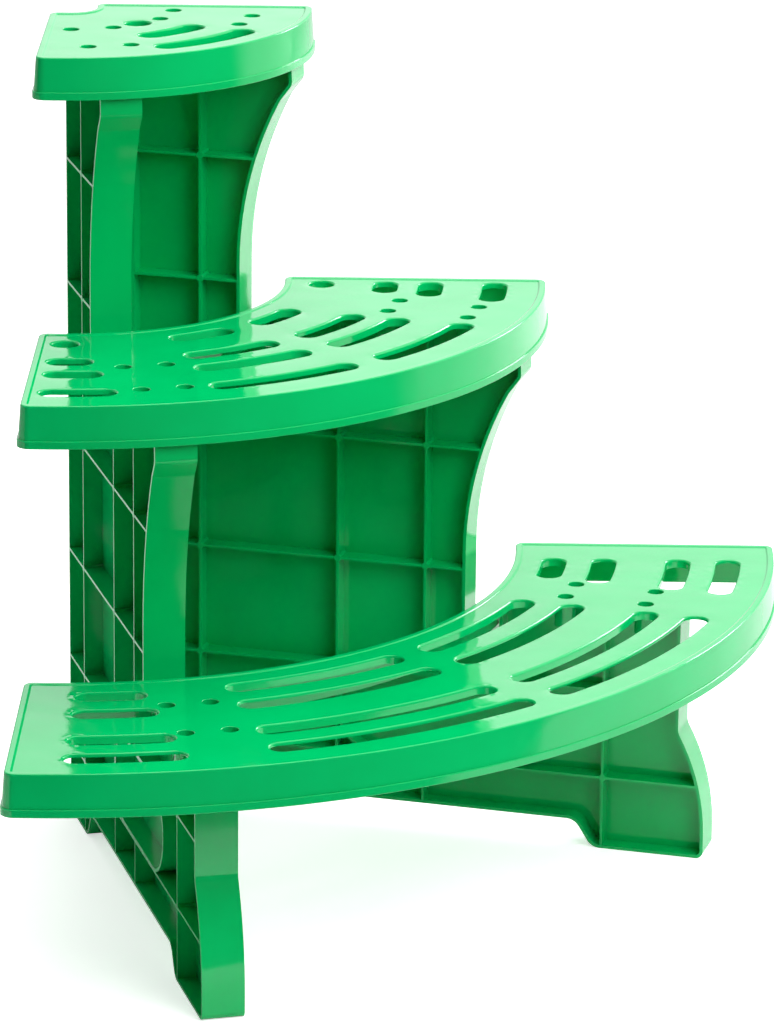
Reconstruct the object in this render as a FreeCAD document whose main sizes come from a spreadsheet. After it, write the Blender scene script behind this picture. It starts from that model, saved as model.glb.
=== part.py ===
# Three-tier corner plant stand, moulded in plastic, in five pieces.
# Three quarter-ring shelves drop over the heads of two stepped side frames.
# Millimetres, +Z up, floor at Z = 0, origin under the middle of the bounding box.
# The shelves are rings about one upright axis, and the frames stand on rays from it.
# The axis is at the back left, a little way in from the wall corner. One wall runs
# along +X and the other along -Y.

import FreeCAD, Part
import math
import os
import Sketcher

doc = FreeCAD.newDocument("corner_plant_stand")
sheet = doc.addObject("Spreadsheet::Sheet", "Sizes")

# Driving dimensions
DIMENSIONS = [
    # Tiers: radii are about one upright axis, and each tray reaches a little under the one above
    ("top_inner_radius", 20),
    ("top_depth", 167),
    ("middle_depth", 205.5),
    ("lower_depth", 205.5),
    ("tray_overlap", 20),
    ("lower_shelf_height", 206),
    ("tier_rise", 218),
    # Shelf mouldings
    ("plate_wall", 3),
    ("skirt_wall", 2.5),
    ("skirt_height", 32),
    ("skirt_flare", 2.2),
    ("bead_height", 6),
    ("bead_step", 0.8),
    ("shelf_corner", 7.5),
    ("straight_end", 7.5),
    ("shelf_edge_bevel", 1),
    ("lip_width", 5),
    ("lip_height", 0.8),
    # Slots through the shelves: rings by their distance from the tray's edges
    ("slot_width", 19),
    ("lower_slot_inner_inset", 31.5),
    ("lower_slot_outer_inset", 36.5),
    ("lower_slot_pitch", 39.5),
    ("lower_end_margin", 40),
    ("lower_band_outside", 26),
    ("middle_slot_inner_inset", 29),
    ("middle_slot_outer_inset", 40),
    ("middle_slot_pitch", 50.5),
    ("middle_end_margin", 11),
    ("middle_band_outside", 36),
    ("top_slot_inset", 29),
    ("top_slot_pitch", 40.5),
    ("top_first_band", 33),
    ("top_second_band", 29.5),
    ("top_third_run", 1.8),
    ("spoke_width", 24),
    ("band_inside", 35),
    # Tubular pegs that locate the shelves on the frame heads
    ("peg_outside", 16.5),
    ("peg_bore", 12.5),
    ("peg_length", 24),
    ("peg_pitch", 64),
    ("peg_spread", 33),
    ("peg_fit", 0.4),
    # Side frames: each stands on a ray from the axis, and reach is measured out along it
    ("frame_angle", 15.4),
    ("flange_width", 32),
    ("flange_wall", 2.5),
    ("web_wall", 2.5),
    ("rib_wall", 2),
    ("back_setback", 33.6),
    ("column_gap", 24.4),
    ("head_fit", 1),
    ("head_draft", 2),
    ("notch_fit", 6),
    ("lower_head_setback", 56.4),
    ("foot_setback", 34.4),
    ("rear_foot_length", 66),
    ("front_foot_length", 90),
    ("foot_rise", 22),
    ("foot_run", 14),
    ("foot_sole_height", 16),
    ("foot_flare_height", 102),
    ("head_drop", 46),
    ("step_in", 9.7),
    ("step_drop", 13),
    ("sweep_drop", 135),
    ("step_round", 9),
    ("edge_round", 3),
    ("foot_round", 12),
    # Ribs: uprights by their distance out from a tray's inner edge, rails by their height
    ("top_peg_inset", 90),
    ("middle_upright_inset", 56.6),
    ("middle_peg_inset", 128.1),
    ("lower_peg_inset", 88.8),
    ("first_rail", 58.5),
    ("second_rail", 130.6),
    ("low_rail_rise", 12.7),
    ("high_rail_rise", 111.3),
    # Plain panel with a round-ended rim between the first and second rails
    ("panel_setback", 46.7),
    ("panel_rim_wall", 2.5),
]

# Dimensions that follow from those
DERIVED = [
    ("top_outer_radius", "=top_inner_radius + top_depth"),
    ("middle_inner_radius", "=top_outer_radius - tray_overlap"),
    ("middle_outer_radius", "=middle_inner_radius + middle_depth"),
    ("lower_inner_radius", "=middle_outer_radius - tray_overlap"),
    ("lower_outer_radius", "=lower_inner_radius + lower_depth"),
    ("middle_shelf_height", "=lower_shelf_height + tier_rise"),
    ("top_shelf_height", "=middle_shelf_height + tier_rise"),
    ("seat_drop", "=lip_height + plate_wall"),
    ("wall_distance", "=shelf_corner + straight_end"),
    ("half_span", "=(lower_outer_radius + wall_distance) / 2"),
    ("back_reach", "=top_inner_radius + back_setback"),
    ("lower_head_reach", "=lower_outer_radius - lower_head_setback"),
    ("foot_reach", "=lower_outer_radius - foot_setback"),
    ("first_upright", "=top_inner_radius + top_peg_inset"),
    ("second_upright", "=middle_inner_radius + middle_upright_inset"),
    ("third_upright", "=middle_inner_radius + middle_peg_inset"),
    ("fourth_upright", "=lower_inner_radius + lower_peg_inset"),
    ("third_rail", "=lower_shelf_height + low_rail_rise"),
    ("fourth_rail", "=lower_shelf_height + high_rail_rise"),
    ("fifth_rail", "=middle_shelf_height + low_rail_rise"),
    ("sixth_rail", "=middle_shelf_height + high_rail_rise"),
    ("panel_front_reach", "=fourth_upright - panel_setback"),
]

for row, (alias, value) in enumerate(DIMENSIONS + DERIVED, start=1):
    sheet.set("A%d" % row, alias)
    sheet.set("B%d" % row, str(value))
    sheet.setAlias("B%d" % row, alias)
doc.recompute()


def size(alias):
    """One driving dimension, as the sheet holds it."""
    return float(sheet.get(alias))


# Values that several pieces share
UPRIGHTS = ["first_upright", "second_upright", "third_upright", "fourth_upright"]
RAILS = ["first_rail", "second_rail", "third_rail", "fourth_rail", "fifth_rail", "sixth_rail"]
half_flange = size("flange_width") / 2
AXIS_X = "Sizes.wall_distance - Sizes.half_span"
AXIS_Y = "Sizes.half_span - Sizes.wall_distance"


def frame_point(side, reach, across):
    """Plan place of a point on a frame, about the axis; across is positive towards the other frame."""
    angle = math.radians(size("frame_angle"))
    along = reach * math.cos(angle) - across * math.sin(angle)
    inward = reach * math.sin(angle) + across * math.cos(angle)
    if side == "left":
        return FreeCAD.Vector(inward, -along, 0)
    return FreeCAD.Vector(along, -inward, 0)


# Sketch helpers
def arc_through(start, middle, end):
    """A circular arc through three points."""
    return Part.Arc(start, middle, end)


def rounded_outline(corners):
    """Lines and tangent arcs round a closed outline of (x, y, radius) corners."""
    count = len(corners)
    points = [FreeCAD.Vector(x, y, 0) for x, y, radius in corners]
    starts, ends, arcs = [], [], []
    for index in range(count):
        corner = points[index]
        back = (points[index - 1] - corner).normalize()
        ahead = (points[(index + 1) % count] - corner).normalize()
        half = back.getAngle(ahead) / 2
        radius = corners[index][2]
        trim = radius / math.tan(half)
        middle_way = (back + ahead).normalize()
        centre = corner + middle_way * (radius / math.sin(half))
        starts.append(corner + back * trim)
        ends.append(corner + ahead * trim)
        arcs.append(arc_through(starts[-1], centre - middle_way * radius, ends[-1]))
    geometry = []
    for index in range(count):
        geometry.append(arcs[index])
        geometry.append(Part.LineSegment(ends[index], starts[(index + 1) % count]))
    return geometry


def polar(radius, angle):
    return FreeCAD.Vector(radius * math.cos(angle), radius * math.sin(angle), 0)


def sector_outline(inner, outer, inset):
    """Quarter ring with straight ends that run to the walls, each edge moved in by the inset."""
    low = inner + inset
    high = outer - inset
    wall = size("wall_distance") - inset
    radius = size("shelf_corner") - inset
    diagonal = math.sqrt(0.5)

    def turned(point):
        """The same point at the other end of the quarter ring."""
        return FreeCAD.Vector(-point.y, -point.x, 0)

    def corner_arc(edge, way):
        """Quarter circle from a straight edge to the wall at the end along +X; way is +1 at the inner edge."""
        centre = FreeCAD.Vector(edge + way * radius, wall - radius, 0)
        first = FreeCAD.Vector(edge, wall - radius, 0)
        last = FreeCAD.Vector(edge + way * radius, wall, 0)
        return first, centre + FreeCAD.Vector(-way, 1, 0) * (radius * diagonal), last

    high_start, high_middle, high_wall = corner_arc(high, -1)
    low_start, low_middle, low_wall = corner_arc(low, 1)
    high_ring = FreeCAD.Vector(high, 0, 0)
    low_ring = FreeCAD.Vector(low, 0, 0)
    middle_way = FreeCAD.Vector(diagonal, -diagonal, 0)
    return [
        arc_through(turned(high_ring), middle_way * high, high_ring),
        Part.LineSegment(high_ring, high_start),
        arc_through(high_start, high_middle, high_wall),
        Part.LineSegment(high_wall, low_wall),
        arc_through(low_wall, low_middle, low_start),
        Part.LineSegment(low_start, low_ring),
        arc_through(low_ring, middle_way * low, turned(low_ring)),
        Part.LineSegment(turned(low_ring), turned(low_start)),
        arc_through(turned(low_start), turned(low_middle), turned(low_wall)),
        Part.LineSegment(turned(low_wall), turned(high_wall)),
        arc_through(turned(high_wall), turned(high_middle), turned(high_start)),
        Part.LineSegment(turned(high_start), turned(high_ring)),
    ]


def ring_slot(radius, first, last):
    """Slot along a ring between two angles, its round ends inside them."""
    half = size("slot_width") / 2
    first = first + half / radius
    last = last - half / radius
    middle = (first + last) / 2

    def round_end(angle, way):
        """Half circle about the end of the slot's centre line."""
        centre = polar(radius, angle)
        along = polar(half, angle + way * math.pi / 2)
        return arc_through(polar(radius + half, angle), centre + along, polar(radius - half, angle))

    return [
        arc_through(polar(radius + half, first), polar(radius + half, middle), polar(radius + half, last)),
        round_end(last, 1),
        arc_through(polar(radius - half, last), polar(radius - half, middle), polar(radius - half, first)),
        round_end(first, -1),
    ]


def sketch_on(body, name, height, geometry):
    """Sketch on the body's XY plane, raised to a height given as an expression."""
    sketch = body.newObject("Sketcher::SketchObject", name)
    plane = [item for item in body.Origin.OriginFeatures if item.Role == "XY_Plane"][0]
    sketch.AttachmentSupport = [(plane, "")]
    sketch.MapMode = "FlatFace"
    sketch.setExpression("AttachmentOffset.Base.z", height)
    sketch.addGeometry(geometry, False)
    return sketch


def circles_on(body, name, height, centres, diameter):
    """Sketch of equal circles, their diameter bound to the sheet."""
    radius = size(diameter) / 2
    axis = FreeCAD.Vector(0, 0, 1)
    sketch = sketch_on(body, name, height, [Part.Circle(centre, axis, radius) for centre in centres])
    for index in range(len(centres)):
        sketch.addConstraint(Sketcher.Constraint("Radius", index, radius))
        sketch.setExpression("Constraints[%d]" % index, "Sizes.%s / 2" % diameter)
    return sketch


# Shelves
def frame_ring_angle(radius, across):
    """Angle in from the shelf end at which a ring passes a line beside the frame."""
    return math.radians(size("frame_angle")) + math.asin(across / radius)


def wall_ring_angle(radius, margin):
    """Angle in from the shelf end at which a ring comes within a margin of the wall."""
    return math.asin((margin - size("wall_distance")) / radius)


def tray_slots(tier):
    """Slots of a tray shelf: four rings, each with two arcs between the frames and one at each end."""
    quarter = math.pi / 2
    pitch = size(tier + "_slot_pitch")
    first_ring = size(tier + "_inner_radius") + size(tier + "_slot_inner_inset")
    last_ring = size(tier + "_outer_radius") - size(tier + "_slot_outer_inset")
    lines = []
    for radius in (first_ring, first_ring + pitch, last_ring - pitch, last_ring):
        spoke = size("spoke_width") / 2 / radius
        inside = frame_ring_angle(radius, size("band_inside"))
        outside = frame_ring_angle(radius, -size(tier + "_band_outside"))
        end = wall_ring_angle(radius, size(tier + "_end_margin"))
        lines += ring_slot(radius, inside - quarter, -quarter / 2 - spoke)
        lines += ring_slot(radius, -quarter / 2 + spoke, -inside)
        lines += ring_slot(radius, end - quarter, outside - quarter)
        lines += ring_slot(radius, -outside, -end)
    return lines


def top_slots():
    """Slots of the top shelf: two arcs between the frames, and a short one nearest the wall corner."""
    quarter = math.pi / 2
    first = size("top_outer_radius") - size("top_slot_inset")
    second = first - size("top_slot_pitch")
    third = second - size("top_slot_pitch")
    lines = []
    for radius, band in ((first, "top_first_band"), (second, "top_second_band")):
        inside = frame_ring_angle(radius, size(band))
        lines += ring_slot(radius, inside - quarter, -inside)
    half = (size("top_third_run") + size("slot_width")) / 2 / third
    return lines + ring_slot(third, -quarter / 2 - half, -quarter / 2 + half)


def peg_centres(upright):
    """Plan places of the eight pegs of one shelf, four round each frame's upright."""
    centres = []
    for side in ("left", "right"):
        for along in (-0.5, 0.5):
            for across in (-0.5, 0.5):
                reach = size(upright) + along * size("peg_pitch")
                centres.append(frame_point(side, reach, across * size("peg_spread")))
    return centres


def pocket(body, name, sketch):
    """Pocket down through the whole shelf."""
    feature = body.newObject("PartDesign::Pocket", name)
    feature.Profile = sketch
    feature.Type = 1
    doc.recompute()
    return feature


def make_shelf(tier, slots, upright):
    """Hollow quarter-ring tray with a raised lip, a flared and beaded skirt, slots and eight tubular pegs."""
    label = tier + "_shelf"
    body = doc.addObject("PartDesign::Body", label)
    body.Label = label
    bottom = "-Sizes.skirt_height"
    inner = size(tier + "_inner_radius")
    outer = size(tier + "_outer_radius")
    flare = size("skirt_flare")
    wall = size("skirt_wall")
    under_flare = flare * size("seat_drop") / size("skirt_height")

    def ring(name, level, inset):
        return sketch_on(body, label + name, level, sector_outline(inner, outer, inset))

    def loft(kind, name, first, last):
        feature = body.newObject("PartDesign::" + kind, label + name)
        feature.Profile = first
        feature.Sections = [last]
        feature.Ruled = True
        doc.recompute()
        return feature

    loft("AdditiveLoft", "_skirt", ring("_skirt_foot", bottom, -flare), ring("_skirt_top", "0", 0))

    bead = body.newObject("PartDesign::Pad", label + "_bead")
    bead.Profile = ring("_bead_line", bottom, -flare - size("bead_step"))
    bead.setExpression("Length", "Sizes.bead_height")
    doc.recompute()

    rim = body.newObject("PartDesign::Chamfer", label + "_rim_bevel")
    names = []
    for index, edge in enumerate(bead.Shape.Edges, start=1):
        if abs(edge.BoundBox.ZMin) + abs(edge.BoundBox.ZMax) < 1e-4:
            names.append("Edge%d" % index)
    rim.Base = (bead, names)
    rim.setExpression("Size", "Sizes.shelf_edge_bevel")
    doc.recompute()

    hollow_foot = ring("_hollow_foot", bottom, wall - flare)
    hollow_top = ring("_hollow_top", "-Sizes.seat_drop", wall - under_flare)
    hollow = loft("SubtractiveLoft", "_hollow", hollow_foot, hollow_top)

    recess = body.newObject("PartDesign::Pocket", label + "_recess")
    recess.Profile = ring("_lip_line", "0", size("lip_width"))
    recess.setExpression("Length", "Sizes.lip_height")
    doc.recompute()
    cut_slots = pocket(body, label + "_slots", sketch_on(body, label + "_slot_lines", "0", slots))

    centres = peg_centres(upright)
    pegs = body.newObject("PartDesign::Pad", label + "_pegs")
    pegs.Profile = circles_on(body, label + "_peg_lines", "-Sizes.lip_height", centres, "peg_outside")
    pegs.setExpression("Length", "Sizes.peg_length - Sizes.lip_height")
    pegs.Reversed = True
    doc.recompute()
    bores = pocket(body, label + "_bores", circles_on(body, label + "_bore_lines", "0", centres, "peg_bore"))
    body.Tip = bores

    volumes = [feature.Shape.Volume for feature in (rim, hollow, recess, cut_slots, pegs, bores)]
    grown = [later > earlier for earlier, later in zip(volumes, volumes[1:])]
    if grown != [False, False, False, True, False]:
        raise RuntimeError("%s: a cut or a pad did not take" % label)

    body.setExpression("Placement.Base.x", AXIS_X)
    body.setExpression("Placement.Base.y", AXIS_Y)
    body.setExpression("Placement.Base.z", "Sizes.%s_height" % label)
    return body


# Side frames
def head_reach(outer):
    """Reach of a frame head's foot: its top corners clear the skirt, and its front follows the skirt's draft."""
    inside = outer - size("skirt_wall") - size("head_fit")
    return math.sqrt(inside ** 2 - half_flange ** 2) + size("head_draft")


def notch_reach(inner):
    """Reach at which a head starts, just outside the inner skirt."""
    return inner + size("skirt_wall") + size("head_fit")


def sweep_corner(across, up, end_round):
    """Corner of an arc that leaves an upright line and ends that far across and up, beside another round corner.

    The arc's two tangents are equal, and its end slopes at twice the angle of its chord.
    Gives the corner's height above the arc's foot, and the radius.
    """
    half = math.atan2(across, up)
    tangent = across / math.sin(2 * half)
    return tangent, tangent / math.tan(half) - end_round


def swept_tier(column, head, height):
    """Front edge of an upper tier, from its column up to its head: a concave sweep and a small step."""
    step = head - size("step_in")
    step_height = height - size("head_drop") - size("step_drop")
    rise, radius = sweep_corner(step - column, size("sweep_drop"), size("step_round"))
    return [
        (column, step_height - size("sweep_drop") + rise, radius),
        (step, step_height, size("step_round")),
        (head, height - size("head_drop"), size("step_round")),
        (head - size("head_draft"), height - size("seat_drop"), size("edge_round")),
    ]


def notch(inner, column, height):
    """Gap between a head and the column inside it, where the shelf's inner skirt hangs."""
    edge = size("edge_round")
    floor = height - size("skirt_height") - size("notch_fit")
    return [
        (notch_reach(inner), height - size("seat_drop"), edge),
        (notch_reach(inner), floor, edge),
        (column, floor, edge),
    ]


def frame_outline():
    """Stepped outline of the side frame, as (reach, height, corner radius)."""
    edge = size("edge_round")
    foot = size("foot_round")
    back = size("back_reach")
    front = size("foot_reach")
    rise = size("foot_rise")
    run = size("foot_run")
    rear_inside = back + size("rear_foot_length")
    front_inside = front - size("front_foot_length")
    lower_head = size("lower_head_reach")
    sole = size("foot_sole_height")
    flare_top = size("foot_flare_height")
    flare, flare_radius = sweep_corner(front - lower_head, flare_top - sole, foot)
    lower_height = size("lower_shelf_height")
    middle_height = size("middle_shelf_height")
    top_height = size("top_shelf_height")
    lower_inner = size("lower_inner_radius")
    middle_inner = size("middle_inner_radius")
    lower_column = lower_inner - size("column_gap")
    upper_column = middle_inner - size("column_gap")
    corners = [
        (back, 0, edge),
        (rear_inside, 0, foot),
        (rear_inside + run, rise, foot),
        (front_inside - run, rise, foot),
        (front_inside, 0, foot),
        (front, 0, 2 * edge),
        (front, sole + flare, flare_radius),
        (lower_head, flare_top, foot),
        (lower_head, lower_height - size("seat_drop"), edge),
    ]
    corners += notch(lower_inner, lower_column, lower_height)
    corners += swept_tier(lower_column, head_reach(size("middle_outer_radius")), middle_height)
    corners += notch(middle_inner, upper_column, middle_height)
    corners += swept_tier(upper_column, head_reach(size("top_outer_radius")), top_height)
    corners.append((back, top_height - size("seat_drop"), edge))
    return corners


def extrude(name, source, half_width):
    """Solid of an outline, to both sides of the frame's middle plane."""
    solid = doc.addObject("Part::Extrusion", name)
    solid.Base = source
    solid.DirMode = "Normal"
    solid.Solid = True
    solid.Symmetric = True
    solid.setExpression("LengthFwd", "2 * (%s)" % half_width)
    return solid


def rib_box(name, x, y, z, length, width, height):
    """Box whose sizes and place are expressions."""
    box = doc.addObject("Part::Box", name)
    for prop, expression in (("Length", length), ("Width", width), ("Height", height)):
        box.setExpression(prop, expression)
    for axis, expression in (("x", x), ("y", y), ("z", z)):
        box.setExpression("Placement.Base." + axis, expression)
    return box


def fused(name, shapes):
    union = doc.addObject("Part::MultiFuse", name)
    union.Shapes = shapes
    return union


def cut(name, base, tool):
    difference = doc.addObject("Part::Cut", name)
    difference.Base = base
    difference.Tool = tool
    return difference


def upright_sketch(name, geometry):
    """Sketch in the frame's middle plane: its x is the reach and its y the height."""
    sketch = doc.addObject("Sketcher::SketchObject", name)
    sketch.Placement.Rotation = FreeCAD.Rotation(FreeCAD.Vector(1, 0, 0), 90)
    sketch.addGeometry(geometry, False)
    return sketch


def panel_outline(inset):
    """Round-ended outline from the second upright, between the first two rails, moved in by the inset."""
    low = size("first_rail") + inset
    high = size("second_rail") - inset
    rear = size("second_upright") + inset
    front = size("panel_front_reach") - inset
    half = (high - low) / 2
    middle = (high + low) / 2

    def place(reach, height):
        return FreeCAD.Vector(reach, height, 0)

    return [
        Part.LineSegment(place(rear + half, low), place(front - half, low)),
        arc_through(place(front - half, low), place(front, middle), place(front - half, high)),
        Part.LineSegment(place(front - half, high), place(rear + half, high)),
        arc_through(place(rear + half, high), place(rear, middle), place(rear + half, low)),
    ]


def frame_ribs(prefix):
    """Grid of uprights and rails on both sides of the web."""
    ribs = []
    rib = "Sizes.rib_wall"
    width = "Sizes.flange_width"
    side = "-Sizes.flange_width / 2"
    top = "Sizes.top_shelf_height"
    for upright in UPRIGHTS:
        place = "Sizes.%s - Sizes.rib_wall / 2" % upright
        ribs.append(rib_box(prefix + upright, place, side, "0", rib, width, top))
    for rail in RAILS:
        place = "Sizes.%s - Sizes.rib_wall / 2" % rail
        ribs.append(rib_box(prefix + rail, "0", side, place, "Sizes.foot_reach", width, rib))
    return fused(prefix + "rib_grid", ribs)


def peg_notches(prefix):
    """Round cuts in the edges of the head flanges, where the shelf pegs hang."""
    tools = []
    levels = {
        "first_upright": "Sizes.top_shelf_height",
        "third_upright": "Sizes.middle_shelf_height",
        "fourth_upright": "Sizes.lower_shelf_height",
    }
    for upright, level in levels.items():
        for along in ("-", "+"):
            for across in ("-", "+"):
                tool = doc.addObject("Part::Cylinder", prefix + upright + "_notch")
                tool.setExpression("Radius", "Sizes.peg_outside / 2 + Sizes.peg_fit")
                tool.setExpression("Height", "Sizes.peg_length")
                tool.setExpression("Placement.Base.x", "Sizes.%s %s Sizes.peg_pitch / 2" % (upright, along))
                tool.setExpression("Placement.Base.y", "%sSizes.peg_spread / 2" % across)
                tool.setExpression("Placement.Base.z", "%s - Sizes.peg_length - Sizes.peg_fit" % level)
                tools.append(tool)
    return fused(prefix + "notches", tools)


def make_moulding(prefix):
    """I-section frame: a thin web inside a flange that follows the stepped outline, ribbed on both sides."""
    outline = upright_sketch(prefix + "outline", rounded_outline(frame_outline()))
    block = extrude(prefix + "block", outline, "Sizes.flange_width / 2")
    web = extrude(prefix + "web", outline, "Sizes.web_wall / 2")
    doc.recompute()

    inner_line = doc.addObject("Part::Offset2D", prefix + "inner_line")
    inner_line.Source = outline
    inner_line.setExpression("Value", "-Sizes.flange_wall")
    inside = extrude(prefix + "inside", inner_line, "Sizes.flange_width")
    flange = cut(prefix + "flange", block, inside)

    ribs = doc.addObject("Part::MultiCommon", prefix + "ribs")
    ribs.Shapes = [frame_ribs(prefix), block]
    rim_line = upright_sketch(prefix + "panel_rim_line", panel_outline(0))
    rim = extrude(prefix + "panel_rim", rim_line, "Sizes.flange_width / 2")
    panel_line = upright_sketch(prefix + "panel_line", panel_outline(size("panel_rim_wall")))
    panel = extrude(prefix + "panel", panel_line, "Sizes.flange_width")
    grid = cut(prefix + "grid", fused(prefix + "rimmed_ribs", [ribs, rim]), panel)
    return fused(prefix + "moulding", [web, flange, grid])


def place_frame(label, side, moulding, notches):
    """One side frame, cut for the shelf pegs and stood beside its wall."""
    frame = cut(label, moulding, notches)
    frame.Label = label
    upward = FreeCAD.Vector(0, 0, 1)
    turn = size("frame_angle") - 90 if side == "left" else -size("frame_angle")
    frame.Placement.Rotation = FreeCAD.Rotation(upward, turn)
    frame.setExpression("Placement.Base.x", AXIS_X)
    frame.setExpression("Placement.Base.y", AXIS_Y)
    return frame


# The five pieces
moulding = make_moulding("frame_")
notches = peg_notches("frame_")
pieces = [
    make_shelf("lower", tray_slots("lower"), "fourth_upright"),
    make_shelf("middle", tray_slots("middle"), "third_upright"),
    make_shelf("top", top_slots(), "first_upright"),
    place_frame("left_side_frame", "left", moulding, notches),
    place_frame("right_side_frame", "right", moulding, notches),
]
doc.recompute()

# Checks before anything is written
for item in doc.Objects:
    for state in ("Invalid", "Error"):
        if state in item.State:
            raise RuntimeError("%s is %s" % (item.Name, state))
os.makedirs("parts", exist_ok=True)
for piece in pieces:
    shape = piece.Shape
    if shape.isNull() or not shape.isValid() or len(shape.Solids) != 1:
        raise RuntimeError("%s has no single valid solid" % piece.Label)
    print("%-18s %8.1f cm3" % (piece.Label, shape.Volume / 1000), shape.BoundBox)
for piece in pieces:
    piece.Shape.exportStep("parts/%s.step" % piece.Label)
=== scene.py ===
# %% [markdown]
# # A corner plant stand in green plastic
# Three quarter-ring trays rise like steps into a room's corner, carried by two ribbed side frames.
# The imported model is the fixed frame: it says where every piece is.
# This lesson dresses it: the trays are made again with rounded edges, the frames get soft edges,
# and everything gets a glossy moulded plastic, a studio and a camera.

# %% Load the frame
import math

import bpy
import numpy as np
from mathutils import Matrix, Vector
from mathutils.geometry import delaunay_2d_cdt


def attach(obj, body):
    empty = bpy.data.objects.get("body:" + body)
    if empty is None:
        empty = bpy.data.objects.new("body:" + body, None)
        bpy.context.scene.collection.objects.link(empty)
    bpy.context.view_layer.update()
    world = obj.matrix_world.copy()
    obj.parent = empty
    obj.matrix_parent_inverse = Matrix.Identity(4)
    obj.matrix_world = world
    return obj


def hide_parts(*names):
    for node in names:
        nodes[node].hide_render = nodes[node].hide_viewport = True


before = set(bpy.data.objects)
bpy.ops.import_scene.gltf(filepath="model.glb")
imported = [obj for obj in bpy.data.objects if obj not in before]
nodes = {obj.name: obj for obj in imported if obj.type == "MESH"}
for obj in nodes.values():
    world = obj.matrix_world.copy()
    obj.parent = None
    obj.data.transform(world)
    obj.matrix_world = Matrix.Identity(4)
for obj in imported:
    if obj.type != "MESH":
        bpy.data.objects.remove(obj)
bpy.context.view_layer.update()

print("pieces in the frame:", sorted(nodes))

# %% [markdown]
# ## Sizes
# All three trays are quarter rings about one upright axis, which stands a little in from the corner of
# the walls, and the frames stand on rays from it. So a radius and an angle place everything.
# The sizes are in millimetres, as on a drawing, and become metres in the mesh.

# %% Sizes of the trays
axis = np.array([-271.5, 271.5])
wall = 15.0
trays = {
    "lower_shelf": {"inner": 352.5, "outer": 558.0, "top": 206.0, "pegs": 441.3, "rim": 3.4},
    "middle_shelf": {"inner": 167.0, "outer": 372.5, "top": 424.0, "pegs": 295.1, "rim": 5.2},
    "top_shelf": {"inner": 20.0, "outer": 187.0, "top": 642.0, "pegs": 110.0, "rim": 5.2},
}
frame_angle = math.radians(15.4)
quarter = math.pi / 2
for name, tray in trays.items():
    print(name, "is", tray["outer"] - tray["inner"], "mm deep and", tray["top"], "mm up")

# %% [markdown]
# ## Paths
# A tray's edge, a slot and a peg hole are all closed paths of lines and arcs.
# Each path is kept as points with the direction that points out of it, because a profile carried
# along the path then needs only one line of arithmetic.

# %% Arcs, lines and closed paths
def arc(centre, radius, start, end, steps, way=1.0):
    """Points centre + radius (cos t, sin t), t from start to end, with their outward directions."""
    t = np.linspace(start, end, steps + 1)
    spoke = np.stack([np.cos(t), np.sin(t)], axis=1)
    return np.hstack([np.asarray(centre) + radius * spoke, way * spoke])


def closed(*runs):
    """Runs of points joined end to end, without the point that two runs share."""
    return np.vstack([run[:-1] for run in runs])


def ring_point(radius, angle):
    """The point at a radius and an angle about the axis."""
    return axis + radius * np.array([math.cos(angle), math.sin(angle)])


def straight(first, last, steps):
    """Evenly spaced points from first to last, with the direction on the right-hand side of the way."""
    share = np.linspace(0.0, 1.0, steps + 1)[:, None]
    points = (1.0 - share) * np.asarray(first) + share * np.asarray(last)
    way = np.subtract(last, first) / np.linalg.norm(np.subtract(last, first))
    return np.hstack([points, np.tile([way[1], -way[0]], (steps + 1, 1))])


# %% The edge of a tray
edge_corner = 7.5


def tray_edge(inner, outer):
    """Quarter ring from -90 to 0 degrees, counter-clockwise, with straight ends on to the walls."""
    c = edge_corner
    fine = max(24, int(outer / 4))
    coarse = max(10, int(inner / 4))
    return closed(
        straight(axis + [-wall, -inner - c], axis + [-wall, c - outer], 12),
        arc(axis + [c - wall, c - outer], c, -math.pi, -quarter, 8),
        straight(axis + [c - wall, -outer], axis + [0, -outer], 2),
        arc(axis, outer, -quarter, 0.0, fine),
        straight(axis + [outer, 0], axis + [outer, wall - c], 2),
        arc(axis + [outer - c, wall - c], c, 0.0, quarter, 8),
        straight(axis + [outer - c, wall], axis + [inner + c, wall], 12),
        arc(axis + [inner + c, wall - c], c, quarter, math.pi, 8),
        straight(axis + [inner, wall - c], axis + [inner, 0], 2),
        arc(axis, inner, 0.0, -quarter, coarse, way=-1.0),
        straight(axis + [0, -inner], axis + [c - wall, -inner], 2),
        arc(axis + [c - wall, -inner - c], c, quarter, math.pi, 8),
    )


edges = {name: tray_edge(tray["inner"], tray["outer"]) for name, tray in trays.items()}
print({name: len(path) for name, path in edges.items()}, "points round the trays")

# %% [markdown]
# ## Slots and peg holes
# Water drains through long slots with round ends that follow the rings. They stop short of the frames,
# of the spoke in the middle and of the tray's ends. Eight small holes mark the hollow pegs below.

# %% Slot paths
slot_half = 9.5
spoke_half = 12.0
frame_clear = 35.0


def ring_slot(radius, first, last):
    """Slot along a ring between two angles: two arcs joined by half circles."""
    first = first + slot_half / radius
    last = last - slot_half / radius
    steps = max(6, int(radius * (last - first) / 6))
    return closed(
        arc(axis, radius + slot_half, first, last, steps),
        arc(ring_point(radius, last), slot_half, last, last + math.pi, 14),
        arc(axis, radius - slot_half, last, first, steps, way=-1.0),
        arc(ring_point(radius, first), slot_half, first + math.pi, first + 2 * math.pi, 14),
    )


def past_frame(radius, across):
    """Angle from a wall at which a ring passes a line that far inside the frame."""
    return frame_angle + math.asin(across / radius)


def tray_slots(rings, margin, outside):
    """Each ring has two arcs either side of the middle spoke, and a short one at each end."""
    paths = []
    for radius in rings:
        inside = past_frame(radius, frame_clear)
        beside = past_frame(radius, -outside)
        end = math.asin((margin - wall) / radius)
        spoke = spoke_half / radius
        paths.append(ring_slot(radius, inside - quarter, -quarter / 2 - spoke))
        paths.append(ring_slot(radius, spoke - quarter / 2, -inside))
        paths.append(ring_slot(radius, end - quarter, beside - quarter))
        paths.append(ring_slot(radius, -beside, -end))
    return paths


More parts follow.
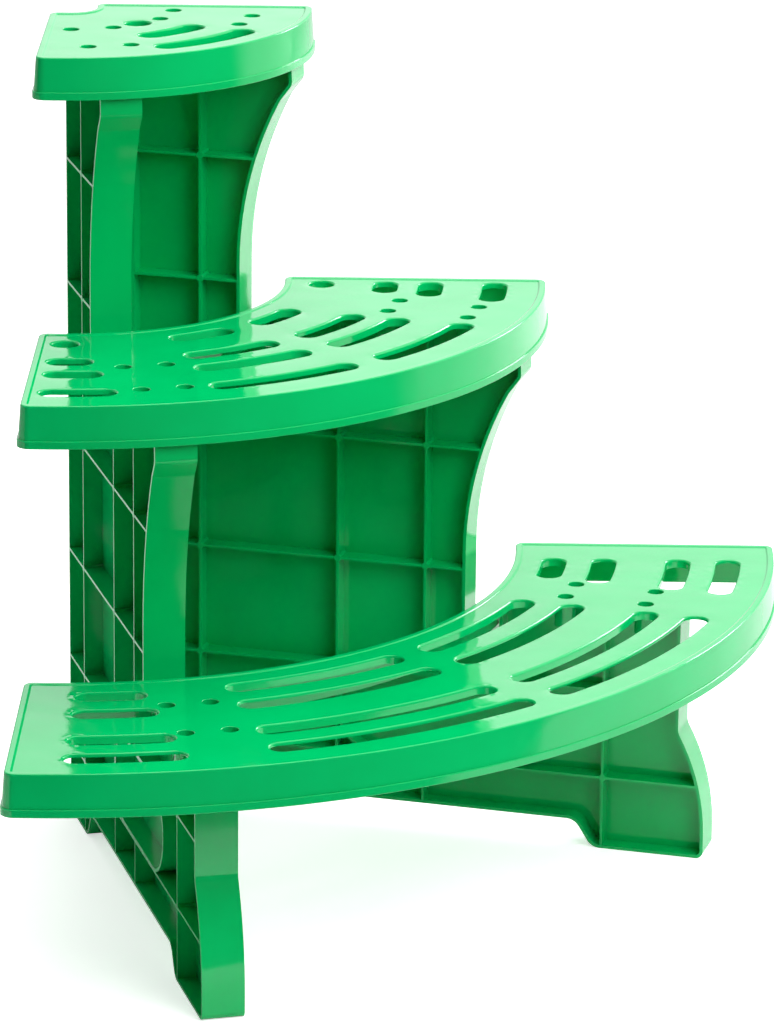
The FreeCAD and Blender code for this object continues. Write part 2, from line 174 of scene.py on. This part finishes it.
def middle_slot(radius, half):
    """Slot about the middle line, half of it to each side."""
    return ring_slot(radius, -quarter / 2 - half, -quarter / 2 + half)


def slot_to_frames(radius, across):
    """Slot about the middle line that ends that far inside both frames."""
    return middle_slot(radius, quarter / 2 - past_frame(radius, across))


short_ring = 77.0
short_run = 1.8
slots = {
    "lower_shelf": tray_slots((384.0, 423.5, 482.0, 521.5), margin=40.0, outside=26.0),
    "middle_shelf": tray_slots((196.0, 246.5, 282.0, 332.5), margin=11.0, outside=36.0),
    "top_shelf": [
        slot_to_frames(158.0, 33.0),
        slot_to_frames(117.5, 29.5),
        middle_slot(short_ring, (slot_half + short_run / 2) / short_ring),
    ],
}
print({name: len(paths) for name, paths in slots.items()}, "slots")

# %% Peg holes
peg_bore = 6.25
peg_outside = 8.25
peg_along = 32.0
peg_across = 16.5


def frame_point(reach, across, left):
    """Plan place that far out along a frame and that far across it."""
    along = reach * math.cos(frame_angle) - across * math.sin(frame_angle)
    inward = reach * math.sin(frame_angle) + across * math.cos(frame_angle)
    return axis + ([inward, -along] if left else [along, -inward])


def circle(centre, radius):
    """A closed circle of 28 points."""
    return closed(arc(centre, radius, 0.0, 2 * math.pi, 28))


pegs = {
    name: [
        frame_point(tray["pegs"] + along, across, left)
        for left in (True, False)
        for along in (-peg_along, peg_along)
        for across in (-peg_across, peg_across)
    ]
    for name, tray in trays.items()
}
print({name: len(places) for name, places in pegs.items()}, "pegs")

# %% [markdown]
# ## Profiles
# The skin of a tray is a profile carried along its edge: a low lip, a round edge, a skirt that flares
# out, a bead along its foot, and the inside of the wall. A profile could be a list of points with
# averaged normals, but then a flat face next to a small round looks dented.
# So each line and each arc is a strip of its own, and carries its exact normal.

# %% Lines and arcs of a profile
def profile_line(first, last):
    """Straight strip: two (out, up) points, and the normal on the left of the way."""
    way = np.subtract(last, first) / np.linalg.norm(np.subtract(last, first))
    normal = np.array([-way[1], way[0]])
    return np.array([first, last]), np.array([normal, normal])


def profile_arc(centre, radius, start, end, hollow=False):
    """Round strip: centre + radius (cos t, sin t), its normal outwards, or inwards if hollow."""
    t = np.radians(np.linspace(start, end, 7))
    spoke = np.stack([np.cos(t), np.sin(t)], axis=1)
    return np.asarray(centre) + radius * spoke, (-spoke if hollow else spoke)


# %% The skin's profile
lip_drop = 0.8
plate_under = 3.8
skirt_drop = 32.0
skirt_flare = 2.2
skirt_wall = 2.5
slope = skirt_flare / skirt_drop
bead_top = 26.0
bead_out = 3.0
bead_round = 0.6
edge_round = 1.3
lip_crown = 2.9
lip_bend = 40.0


def edge_profile():
    """Strips from the plate over the lip and down the skirt, in (out, up) from the tray's edge and top.

    The round between the flat lip and the sloping skirt has its centre at
    out = r (slope - sqrt(1 + slope^2)) and up = -r, which is r from both.
    The lip's inner side is two arcs of one bend, so its drop is 2 r (1 - cos bend).
    """
    lean = math.degrees(math.atan(slope))
    round_out = edge_round * (slope - math.sqrt(1.0 + slope * slope))
    foot_out = round_out + edge_round * math.cos(math.atan(slope))
    foot_up = -edge_round + edge_round * math.sin(math.atan(slope))
    bend = math.radians(lip_bend)
    lip_radius = lip_drop / 2 / (1 - math.cos(bend))
    lip_in = round_out - lip_crown
    lip_foot = lip_in - 2 * lip_radius * math.sin(bend)
    waist = slope * bead_top
    inside = slope * skirt_drop - skirt_wall
    return [
        profile_arc((lip_foot, lip_radius - lip_drop), lip_radius, -90.0, lip_bend - 90.0, hollow=True),
        profile_arc((lip_in, -lip_radius), lip_radius, 90.0 + lip_bend, 90.0),
        profile_line((lip_in, 0.0), (round_out, 0.0)),
        profile_arc((round_out, -edge_round), edge_round, 90.0, lean),
        profile_line((foot_out, foot_up), (waist, -bead_top)),
        profile_line((waist, -bead_top), (bead_out - bead_round, -bead_top)),
        profile_arc((bead_out - bead_round, -bead_top - bead_round), bead_round, 90.0, 0.0),
        profile_line((bead_out, -bead_top - bead_round), (bead_out, bead_round - skirt_drop)),
        profile_arc((bead_out - bead_round, bead_round - skirt_drop), bead_round, 0.0, -90.0),
        profile_line((bead_out - bead_round, -skirt_drop), (inside, -skirt_drop)),
        profile_line((inside, -skirt_drop), (slope * plate_under - skirt_wall, -plate_under)),
    ]


plate_inset = -edge_profile()[0][0][0, 0]
under_inset = -edge_profile()[-1][0][-1, 0]
print("the flat plate starts", round(plate_inset, 2), "mm in from the edge")

# %% Profiles of a slot and of a peg
slot_round = 1.8
slot_deep = 7.4
rim_wall = 1.8
hole_round = 0.8
peg_end = 24.0
peg_wall = peg_outside - peg_bore


def hole_profile(edge, depth, thickness):
    """Strips of a hole with a turned-down rim: round edge, wall, the rim's foot and its outside."""
    return [
        profile_arc((edge, -lip_drop - edge), edge, 90.0, 180.0),
        profile_line((0.0, -depth), (0.0, -lip_drop - edge)),
        profile_line((thickness, -depth), (0.0, -depth)),
        profile_line((thickness, -plate_under), (thickness, -depth)),
    ]


peg_profile = hole_profile(hole_round, peg_end, peg_wall)
print("slot edge round", slot_round, "mm, peg", peg_end - lip_drop, "mm long")

# %% [markdown]
# ## Surfaces
# Two kinds of surface make a tray. A strip is the grid of a profile along a path.
# A flat plate is what is left between the paths, and a triangulation fills it.

# %% Strips and plates
def grid_quads(rows, across):
    """Corners of the faces of a grid whose last row meets its first."""
    row, column = np.meshgrid(np.arange(rows), np.arange(across - 1), indexing="ij")
    ahead = (row + 1) % rows
    quads = np.stack([row * across + column, row * across + column + 1,
                      ahead * across + column + 1, ahead * across + column], axis=-1)
    return quads.reshape(-1, 4)


def strip(path, profile, level):
    """Grid over (path, profile): point + out * direction, raised by up, with its own normals."""
    places, normals = profile
    rows, across = len(path), len(places)
    plan = path[:, None, :2] + places[None, :, :1] * path[:, None, 2:]
    height = np.broadcast_to(level + places[None, :, 1:], (rows, across, 1))
    points = np.concatenate([plan, height], axis=2).reshape(-1, 3)
    sideways = normals[None, :, :1] * path[:, None, 2:]
    upward = np.broadcast_to(normals[None, :, 1:], (rows, across, 1))
    facing = np.concatenate([sideways, upward], axis=2).reshape(-1, 3)
    return points, facing, grid_quads(rows, across)


def moved(path, out):
    """The points of a path moved that far along its outward directions."""
    return path[:, :2] + out * path[:, 2:]


def between(places, first, last):
    """True where a ray to the right of a place crosses the lines an odd number of times."""
    x, y = places[:, :1], places[:, 1:]
    over = (first[:, 1] > y) != (last[:, 1] > y)
    rise = np.where(last[:, 1] == first[:, 1], 1.0, last[:, 1] - first[:, 1])
    meets = first[:, 0] + (y - first[:, 1]) * (last[:, 0] - first[:, 0]) / rise
    return np.sum(over & (x < meets), axis=1) % 2 == 1


def fill_points(outline, loops, step, clear):
    """Points of a square grid inside the outline and at least a clear distance from every loop."""
    low, high = outline.min(axis=0), outline.max(axis=0)
    x, y = np.meshgrid(np.arange(low[0], high[0], step), np.arange(low[1], high[1], step))
    grid = np.stack([x.ravel(), y.ravel()], axis=1)
    ahead = [np.roll(loop, -1, axis=0) for loop in loops]
    grid = grid[between(grid, np.vstack(loops), np.vstack(ahead))]
    return grid[nearest(grid, np.vstack(loops))[0] > clear]


def nearest(places, marks):
    """Distance from each place to the nearest mark, and the direction away from it."""
    apart = places[:, None, :] - marks[None, :, :]
    square = np.einsum("ijk,ijk->ij", apart, apart)
    chosen = np.argmin(square, axis=1)
    row = np.arange(len(places))
    distance = np.sqrt(square[row, chosen])
    return distance, apart[row, chosen] / np.maximum(distance, 1e-9)[:, None]


def plate(loops, level, upward, inner=None):
    """Flat sheet inside the first loop and outside the others, facing up or down.

    Every triangle whose middle lies between the loops is kept. Inner points make it finer.
    """
    border = np.vstack(loops)
    ahead = np.vstack([np.roll(loop, -1, axis=0) for loop in loops])
    ends = np.cumsum([len(loop) for loop in loops])
    after = np.arange(1, len(border) + 1)
    after[ends - 1] = np.concatenate([[0], ends[:-1]])
    lines = np.stack([np.arange(len(border)), after], axis=1)
    points = border if inner is None else np.vstack([border, inner])
    flat = delaunay_2d_cdt([Vector(p) for p in points.tolist()], lines.tolist(), [], 0, 1e-7)
    plan = np.array([v[:] for v in flat[0]])
    faces = np.array(flat[2])
    faces = faces[between(plan[faces].mean(axis=1), border, ahead)]
    points = np.column_stack([plan, np.full(len(plan), level)])
    facing = np.tile([0.0, 0.0, 1.0 if upward else -1.0], (len(plan), 1))
    return points, facing, faces


def dished(sheet, rims, tilt, width):
    """The same sheet, normals leaning to the nearest rim by tilt exp(-(distance / width)^2)."""
    points, facing, faces = sheet
    distance, away = nearest(points[:, :2], rims)
    lean = tilt * np.exp(-(distance / width) ** 2)
    facing = facing + np.column_stack([-lean[:, None] * away, np.zeros(len(points))])
    return points, facing / np.linalg.norm(facing, axis=1)[:, None], faces


# %% A mesh from several surfaces
def mesh_from(name, surfaces):
    """One mesh from (points, normals, faces) surfaces in millimetres.

    Each face is turned to agree with its normals. Points at one place become one point, so that the
    seams are closed, and every face corner keeps the exact normal of its own surface.
    """
    counts = np.cumsum([0] + [len(points) for points, facing, faces in surfaces])
    points = np.vstack([s[0] for s in surfaces])
    facing = np.vstack([s[1] for s in surfaces])
    merged, shared = np.unique(np.round(points, 3), axis=0, return_inverse=True)
    shared = shared.ravel()
    faces, corner_normals = [], []
    for start, (where, normals, corners) in zip(counts, surfaces):
        a, b, c = (where[corners[:, i]] for i in range(3))
        wrong = np.einsum("ij,ij->i", np.cross(b - a, c - a), normals[corners].mean(axis=1)) < 0
        corners = np.where(wrong[:, None], corners[:, ::-1], corners) + start
        faces += shared[corners].tolist()
        corner_normals.append(facing[corners].reshape(-1, 3))
    mesh = bpy.data.meshes.new(name)
    mesh.from_pydata((merged / 1000.0).tolist(), [], faces)
    mesh.shade_smooth()
    mesh.normals_split_custom_set(np.vstack(corner_normals).tolist())
    piece = bpy.data.objects.new(name, mesh)
    bpy.context.scene.collection.objects.link(piece)
    print(name, len(mesh.polygons), "faces")
    return piece


# %% [markdown]
# ## The three trays
# Each tray is one moulding, so all of its strips and plates go into one mesh. It stands for the tray
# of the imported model, at the same place, and takes the same finish.

# %% Make the trays
dish_tilt = 0.05
dish_width = 5.0
fill_step = 4.0
fill_clear = 1.5


def make_tray(name):
    """Skin along the edge, rounds and walls of the slots, tubular pegs, and the plate's two sides.

    Slots come four to a ring, and the rims of every other ring are shallow.
    """
    level = trays[name]["top"]
    edge = edges[name]
    rims = [hole_profile(slot_round, depth, rim_wall) for depth in (slot_deep, trays[name]["rim"])]
    holes = [circle(place, peg_bore) for place in pegs[name]]
    surfaces = [strip(edge, profile, level) for profile in edge_profile()]
    for number, path in enumerate(slots[name]):
        surfaces += [strip(path, profile, level) for profile in rims[number // 4 % 2]]
    for path in holes:
        surfaces += [strip(path, profile, level) for profile in peg_profile]
    slot_rims = [moved(path, slot_round) for path in slots[name]]
    top_loops = [moved(edge, -plate_inset)] + slot_rims
    top_loops += [moved(path, hole_round) for path in holes]
    under_loops = [moved(edge, -under_inset)]
    under_loops += [moved(path, rim_wall) for path in slots[name]]
    under_loops += [moved(path, peg_wall) for path in holes]
    grid = fill_points(top_loops[0], top_loops, fill_step, fill_clear)
    top_side = plate(top_loops, level - lip_drop, True, grid)
    surfaces.append(dished(top_side, np.vstack(slot_rims), dish_tilt, dish_width))
    surfaces.append(plate(under_loops, level - plate_under, False))
    return mesh_from("moulded_" + name, surfaces)


shelves = {}
for name in trays:
    shelves[name] = make_tray(name)
    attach(shelves[name], "root")
    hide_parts(name)

# %% [markdown]
# ## The side frames
# A frame's shape is right as it is packed, so it stays. Its mesh is loose triangles with knife edges,
# and modifiers mend that without touching it: the points are welded, the edges get a small round,
# and faces that meet at a shallow angle shade smoothly.

# %% Shade smooth below an angle
def smooth_below(angle):
    """Geometry nodes that shade faces smoothly and keep edges sharper than the angle."""
    group = bpy.data.node_groups.new("smooth_below_angle", "GeometryNodeTree")
    group.interface.new_socket("Geometry", in_out="INPUT", socket_type="NodeSocketGeometry")
    group.interface.new_socket("Geometry", in_out="OUTPUT", socket_type="NodeSocketGeometry")
    start = group.nodes.new("NodeGroupInput")
    end = group.nodes.new("NodeGroupOutput")
    faces = group.nodes.new("GeometryNodeSetShadeSmooth")
    faces.domain = "FACE"
    creases = group.nodes.new("GeometryNodeSetShadeSmooth")
    creases.domain = "EDGE"
    bend = group.nodes.new("GeometryNodeInputMeshEdgeAngle")
    shallow = group.nodes.new("FunctionNodeCompare")
    shallow.data_type = "FLOAT"
    shallow.operation = "LESS_THAN"
    shallow.inputs[1].default_value = angle
    group.links.new(start.outputs[0], faces.inputs["Geometry"])
    group.links.new(faces.outputs[0], creases.inputs["Geometry"])
    group.links.new(bend.outputs[0], shallow.inputs[0])
    group.links.new(shallow.outputs[0], creases.inputs["Shade Smooth"])
    group.links.new(creases.outputs[0], end.inputs[0])
    return group


# %% Soften the frames' edges
side_frames = {name: nodes[name] for name in ("left_side_frame", "right_side_frame")}
smooth_group = smooth_below(math.radians(30))
weld_distance = 2e-6
soft_width = 0.0006
for name, piece in side_frames.items():
    weld = piece.modifiers.new("weld_points", "WELD")
    weld.merge_threshold = weld_distance
    soft = piece.modifiers.new("soft_edges", "BEVEL")
    soft.width = soft_width
    soft.segments = 2
    soft.limit_method = "ANGLE"
    soft.angle_limit = math.radians(40)
    shade = piece.modifiers.new("smooth_faces", "NODES")
    shade.node_group = smooth_group
    weighted = piece.modifiers.new("weighted_normals", "WEIGHTED_NORMAL")
    weighted.keep_sharp = True
    print(name, len(piece.data.polygons), "triangles")

# %% [markdown]
# ## Posts where the ribs cross
# Where an upright rib crosses a rail, the real frame has a small round post, left by the pin that
# pushes the moulding out of its mould. The posts are one profile, a line and two rounded ends, turned
# about each crossing.

# %% Rib crossings
uprights = np.array([110.0, 223.6, 295.1, 441.3])
rails = np.array([58.5, 130.6, 218.7, 317.3, 436.7, 535.3])
crossings = [(0, 0), (1, 0), (3, 0), (0, 1), (1, 1), (3, 1), (0, 2), (1, 2), (2, 2),
             (0, 3), (1, 3), (2, 3), (0, 4), (0, 5)]
post_radius = 3.0
post_half = 16.2
post_round = 0.6


def post(reach, height, left):
    """Round post along the frame's thickness: a profile with soft ends, turned, and two flat ends.

    The profile is (radius, across) and its normal leans by the angle of the soft end.
    """
    t = np.linspace(0.0, 2 * math.pi, 17)[:-1, None]
    soft = np.radians(np.linspace(90.0, 0.0, 4))
    radius = post_radius - post_round + post_round * np.cos(soft)
    across = post_half - post_round + post_round * np.sin(soft)
    radius = np.concatenate([radius, radius[::-1]])
    across = np.concatenate([across, -across[::-1]])
    lean = np.concatenate([soft, -soft[::-1]])
    out = frame_point(1.0, 0.0, left) - axis
    side = frame_point(0.0, 1.0, left) - axis
    turn = np.array([[*out, 0.0], [0.0, 0.0, 1.0], [*side, 0.0]])
    centre = np.array([*frame_point(reach, 0.0, left), height])
    skin = np.stack(np.broadcast_arrays(radius * np.cos(t), radius * np.sin(t), across), axis=2)
    outward = np.cos(lean) * np.cos(t)
    upward = np.cos(lean) * np.sin(t)
    facing = np.stack(np.broadcast_arrays(outward, upward, np.sin(lean)), axis=2) @ turn
    points = centre + skin @ turn
    surfaces = [(points.reshape(-1, 3), facing.reshape(-1, 3), grid_quads(len(t), len(across)))]
    for column, way in ((0, 1.0), (-1, -1.0)):
        flat_normals = np.tile(way * turn[2], (len(t), 1))
        surfaces.append((points[:, column], flat_normals, np.arange(len(t))[None]))
    return surfaces


posts = {}
for name, left in (("left_side_frame", True), ("right_side_frame", False)):
    turned = [surface for u, r in crossings for surface in post(uprights[u], rails[r], left)]
    posts[name] = mesh_from(name + "_posts", turned)
    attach(posts[name], "root")

# %% [markdown]
# ## Moulded plastic
# The stand is polypropylene coloured in the mass, with a glossy skin. A flat colour would look like
# a drawing: real mouldings have slow ripples where the plate cooled, a faint orange peel, and a gloss
# that varies. One node group makes these for both finishes.

# %% Node group for a moulded surface
def new_node(tree, kind, **inputs):
    """A node with some of its inputs set by name."""
    node = tree.nodes.new(kind)
    for name, value in inputs.items():
        node.inputs[name.replace("_", " ")].default_value = value
    return node


def noise(tree, place, scale, detail):
    """Noise of a given number of waves per metre on the object's own coordinates."""
    node = new_node(tree, "ShaderNodeTexNoise", Scale=scale, Detail=detail, Roughness=0.5)
    tree.links.new(place.outputs["Object"], node.inputs["Vector"])
    return node.outputs["Factor"] if "Factor" in node.outputs else node.outputs["Fac"]


def spread(tree, value, low, high):
    """Noise between 0.3 and 0.7 stretched to low and high."""
    node = new_node(tree, "ShaderNodeMapRange", From_Min=0.3, From_Max=0.7, To_Min=low, To_Max=high)
    tree.links.new(value, node.inputs["Value"])
    return node.outputs["Result"]


def moulded_surface():
    """Group: pigment colours in; colour, roughness and height out, all varying over the surface."""
    group = bpy.data.node_groups.new("moulded_surface", "ShaderNodeTree")
    sockets = (
        ("Deep Colour", "INPUT", "Color"),
        ("Clear Colour", "INPUT", "Color"),
        ("Gloss Low", "INPUT", "Float"),
        ("Gloss High", "INPUT", "Float"),
        ("Colour", "OUTPUT", "Color"),
        ("Roughness", "OUTPUT", "Float"),
        ("Height", "OUTPUT", "Float"),
    )
    for label, way, kind in sockets:
        group.interface.new_socket(label, in_out=way, socket_type="NodeSocket" + kind)
    start = group.nodes.new("NodeGroupInput")
    end = group.nodes.new("NodeGroupOutput")
    place = group.nodes.new("ShaderNodeTexCoord")
    link = group.links.new

    flow = spread(group, noise(group, place, scale=14.0, detail=3.0), 0.0, 1.0)
    colour = group.nodes.new("ShaderNodeMix")
    colour.data_type = "RGBA"
    link(flow, colour.inputs[0])
    link(start.outputs["Deep Colour"], colour.inputs[6])
    link(start.outputs["Clear Colour"], colour.inputs[7])
    link(colour.outputs[2], end.inputs["Colour"])

    haze = spread(group, noise(group, place, scale=55.0, detail=4.0), 0.0, 1.0)
    gloss = group.nodes.new("ShaderNodeMix")
    link(haze, gloss.inputs[0])
    link(start.outputs["Gloss Low"], gloss.inputs[2])
    link(start.outputs["Gloss High"], gloss.inputs[3])
    link(gloss.outputs[0], end.inputs["Roughness"])

    ripple = spread(group, noise(group, place, scale=22.0, detail=1.0), 0.0, 0.00022)
    peel = spread(group, noise(group, place, scale=420.0, detail=2.0), 0.0, 0.000006)
    both = group.nodes.new("ShaderNodeMath")
    both.operation = "ADD"
    link(ripple, both.inputs[0])
    link(peel, both.inputs[1])
    link(both.outputs[0], end.inputs["Height"])
    return group


surface = moulded_surface()
print("moulded surface:", len(surface.nodes), "nodes")

# %% The two finishes
def plastic(name, deep, clear, gloss):
    """Glossy plastic: the group's colour, roughness and height feed a Principled shader."""
    material = bpy.data.materials.new(name)
    material.use_nodes = True
    tree = material.node_tree
    shader = tree.nodes["Principled BSDF"]
    marks = tree.nodes.new("ShaderNodeGroup")
    marks.node_tree = surface
    marks.inputs["Deep Colour"].default_value = (*deep, 1.0)
    marks.inputs["Clear Colour"].default_value = (*clear, 1.0)
    marks.inputs["Gloss Low"].default_value = gloss[0]
    marks.inputs["Gloss High"].default_value = gloss[1]
    bump = new_node(tree, "ShaderNodeBump", Strength=1.0, Distance=1.0)
    tree.links.new(marks.outputs["Height"], bump.inputs["Height"])
    tree.links.new(bump.outputs["Normal"], shader.inputs["Normal"])
    tree.links.new(marks.outputs["Colour"], shader.inputs["Base Color"])
    tree.links.new(marks.outputs["Roughness"], shader.inputs["Roughness"])
    shader.inputs["IOR"].default_value = 1.5
    return material


shelf_plastic = plastic("green_shelf_plastic", (0.0, 0.45, 0.115), (0.0, 0.49, 0.132), (0.06, 0.10))
frame_plastic = plastic("green_frame_plastic", (0.0, 0.44, 0.108), (0.0, 0.49, 0.126), (0.08, 0.13))
for piece in shelves.values():
    piece.data.materials.append(shelf_plastic)
for piece in list(side_frames.values()) + list(posts.values()):
    piece.data.materials.clear()
    piece.data.materials.append(frame_plastic)
print("finishes:", shelf_plastic.name, frame_plastic.name)

# %% [markdown]
# ## Studio
# The stand is on a white table whose front edge runs askew a step away, in a white studio that is dim
# behind the camera. That is why its fronts are deep green, its tops and right-hand edges pale.
# The table glows a little to the camera alone, so it is nearly as white as the backdrop and still
# takes a shadow.

# %% Table and world
def flat_sheet(name, corners):
    """A level sheet at the floor with the given corners."""
    mesh = bpy.data.meshes.new(name)
    mesh.from_pydata([(x, y, 0.0) for x, y in corners], [], [tuple(range(len(corners)))])
    sheet = bpy.data.objects.new(name, mesh)
    bpy.context.scene.collection.objects.link(sheet)
    return sheet


table_glow = 0.6
table = flat_sheet("table", ((-3.0, -1.59), (3.0, 0.44), (3.0, 4.5), (-3.0, 4.5)))
white = bpy.data.materials.new("table_white")
white.use_nodes = True
paint = white.node_tree.nodes["Principled BSDF"]
paint.inputs["Base Color"].default_value = (0.93, 0.93, 0.93, 1.0)
paint.inputs["Roughness"].default_value = 0.9
paint.inputs["Specular IOR Level"].default_value = 0.0
paint.inputs["Emission Color"].default_value = (1.0, 1.0, 1.0, 1.0)
seen = white.node_tree.nodes.new("ShaderNodeLightPath")
glow = white.node_tree.nodes.new("ShaderNodeMath")
glow.operation = "MULTIPLY"
glow.inputs[1].default_value = table_glow
white.node_tree.links.new(seen.outputs["Is Camera Ray"], glow.inputs[0])
white.node_tree.links.new(glow.outputs[0], paint.inputs["Emission Strength"])
table.data.materials.append(white)


def ramp(tree, value, stops):
    """Smooth grey ramp over -1 to 1, through (place, strength) stops; strengths are out of 2."""
    spread_out = new_node(tree, "ShaderNodeMapRange", From_Min=-1.0, From_Max=1.0)
    tree.links.new(value, spread_out.inputs["Value"])
    node = tree.nodes.new("ShaderNodeValToRGB")
    node.color_ramp.interpolation = "EASE"
    while len(node.color_ramp.elements) < len(stops):
        node.color_ramp.elements.new(0.5)
    for element, (place, strength) in zip(node.color_ramp.elements, stops):
        element.position = (place + 1.0) / 2
        element.color = (strength / 2, strength / 2, strength / 2, 1.0)
    tree.links.new(spread_out.outputs["Result"], node.inputs[0])
    return node.outputs["Color"]


def studio_world(front, back):
    """White to the camera; to everything else it depends on the ray: stops by X, in front and behind."""
    world = bpy.data.worlds.new("studio")
    world.use_nodes = True
    tree = world.node_tree
    way = tree.nodes.new("ShaderNodeTexCoord")
    parts = tree.nodes.new("ShaderNodeSeparateXYZ")
    tree.links.new(way.outputs["Generated"], parts.inputs[0])
    behind = new_node(tree, "ShaderNodeMapRange", From_Min=-0.1, From_Max=0.15)
    behind.interpolation_type = "SMOOTHSTEP"
    tree.links.new(parts.outputs["Y"], behind.inputs["Value"])
    both = tree.nodes.new("ShaderNodeMix")
    tree.links.new(behind.outputs["Result"], both.inputs[0])
    tree.links.new(ramp(tree, parts.outputs["X"], front), both.inputs[2])
    tree.links.new(ramp(tree, parts.outputs["X"], back), both.inputs[3])
    path = tree.nodes.new("ShaderNodeLightPath")
    pick = tree.nodes.new("ShaderNodeMix")
    # Half a strength here is 1 in the end, because the last node doubles it.
    pick.inputs[3].default_value = 0.5
    tree.links.new(path.outputs["Is Camera Ray"], pick.inputs[0])
    tree.links.new(both.outputs[0], pick.inputs[2])
    double = tree.nodes.new("ShaderNodeMath")
    double.operation = "MULTIPLY"
    double.inputs[1].default_value = 2.0
    tree.links.new(pick.outputs[0], double.inputs[0])
    tree.links.new(double.outputs[0], tree.nodes["Background"].inputs["Strength"])
    tree.nodes["Background"].inputs["Color"].default_value = (1.0, 1.0, 1.0, 1.0)
    return world


bpy.context.scene.world = studio_world(
    front=((-0.3, 0.06), (0.0, 0.04), (0.3, 0.08)),
    back=((-0.3, 0.75), (0.0, 1.6), (0.3, 1.1), (0.55, 1.7)),
)
bpy.context.scene.view_settings.view_transform = "Standard"
print("table and world made")

# %% Softboxes
def softbox(name, place, target, size, power):
    """Square lamp that faces a target."""
    lamp = bpy.data.lights.new(name, "AREA")
    lamp.shape = "RECTANGLE"
    lamp.size = size
    lamp.size_y = size
    lamp.energy = power
    box = bpy.data.objects.new(name, lamp)
    way = Vector(target) - Vector(place)
    box.matrix_world = Matrix.Translation(place) @ way.to_track_quat("-Z", "Y").to_matrix().to_4x4()
    bpy.context.scene.collection.objects.link(box)
    return box


softbox("overhead_box", (0.1, 0.2, 2.6), (0.0, 0.0, 0.2), size=1.8, power=20.0)
front_box = softbox("front_box", (0.8, -0.95, 1.75), (-0.2, 0.1, 0.6), size=1.4, power=35.0)
low_box = softbox("low_box", (1.4, -1.9, 1.2), (-0.2, 0.1, 0.6), size=0.6, power=7.0)
softbox("table_box", (1.9, 2.2, 1.5), (1.3, 1.7, 0.0), size=1.0, power=45.0)
# The two front lamps only fill: no mirror image of them shows in the gloss.
front_box.visible_glossy = False
low_box.visible_glossy = False

# %% [markdown]
# ## Camera
# The camera's place and lens come from fitting the shelf corners, holes and feet in the photograph.

# %% Place the camera
def look_from(place, yaw, pitch, roll, lens):
    """Camera that looks along (sin yaw cos pitch, cos yaw cos pitch, sin pitch), then rolled."""
    ahead = math.cos(pitch)
    forward = Vector((math.sin(yaw) * ahead, math.cos(yaw) * ahead, math.sin(pitch)))
    level = Vector((math.cos(yaw), -math.sin(yaw), 0.0))
    upright = level.cross(forward)
    right = math.cos(roll) * level + math.sin(roll) * upright
    up = -math.sin(roll) * level + math.cos(roll) * upright
    data = bpy.data.cameras.new("photo_camera")
    data.sensor_fit = "VERTICAL"
    data.sensor_height = 36.0
    data.lens = lens
    data.clip_end = 50.0
    camera = bpy.data.objects.new("photo_camera", data)
    turn = Matrix((right, up, -forward)).transposed().to_4x4()
    camera.matrix_world = Matrix.Translation(place) @ turn
    bpy.context.scene.collection.objects.link(camera)
    bpy.context.scene.camera = camera
    return camera


camera = look_from((0.0224, -4.1084, 1.5591), yaw=-0.0102, pitch=-0.2937, roll=0.0092, lens=201.5)
print("camera lens", camera.data.lens, "mm")
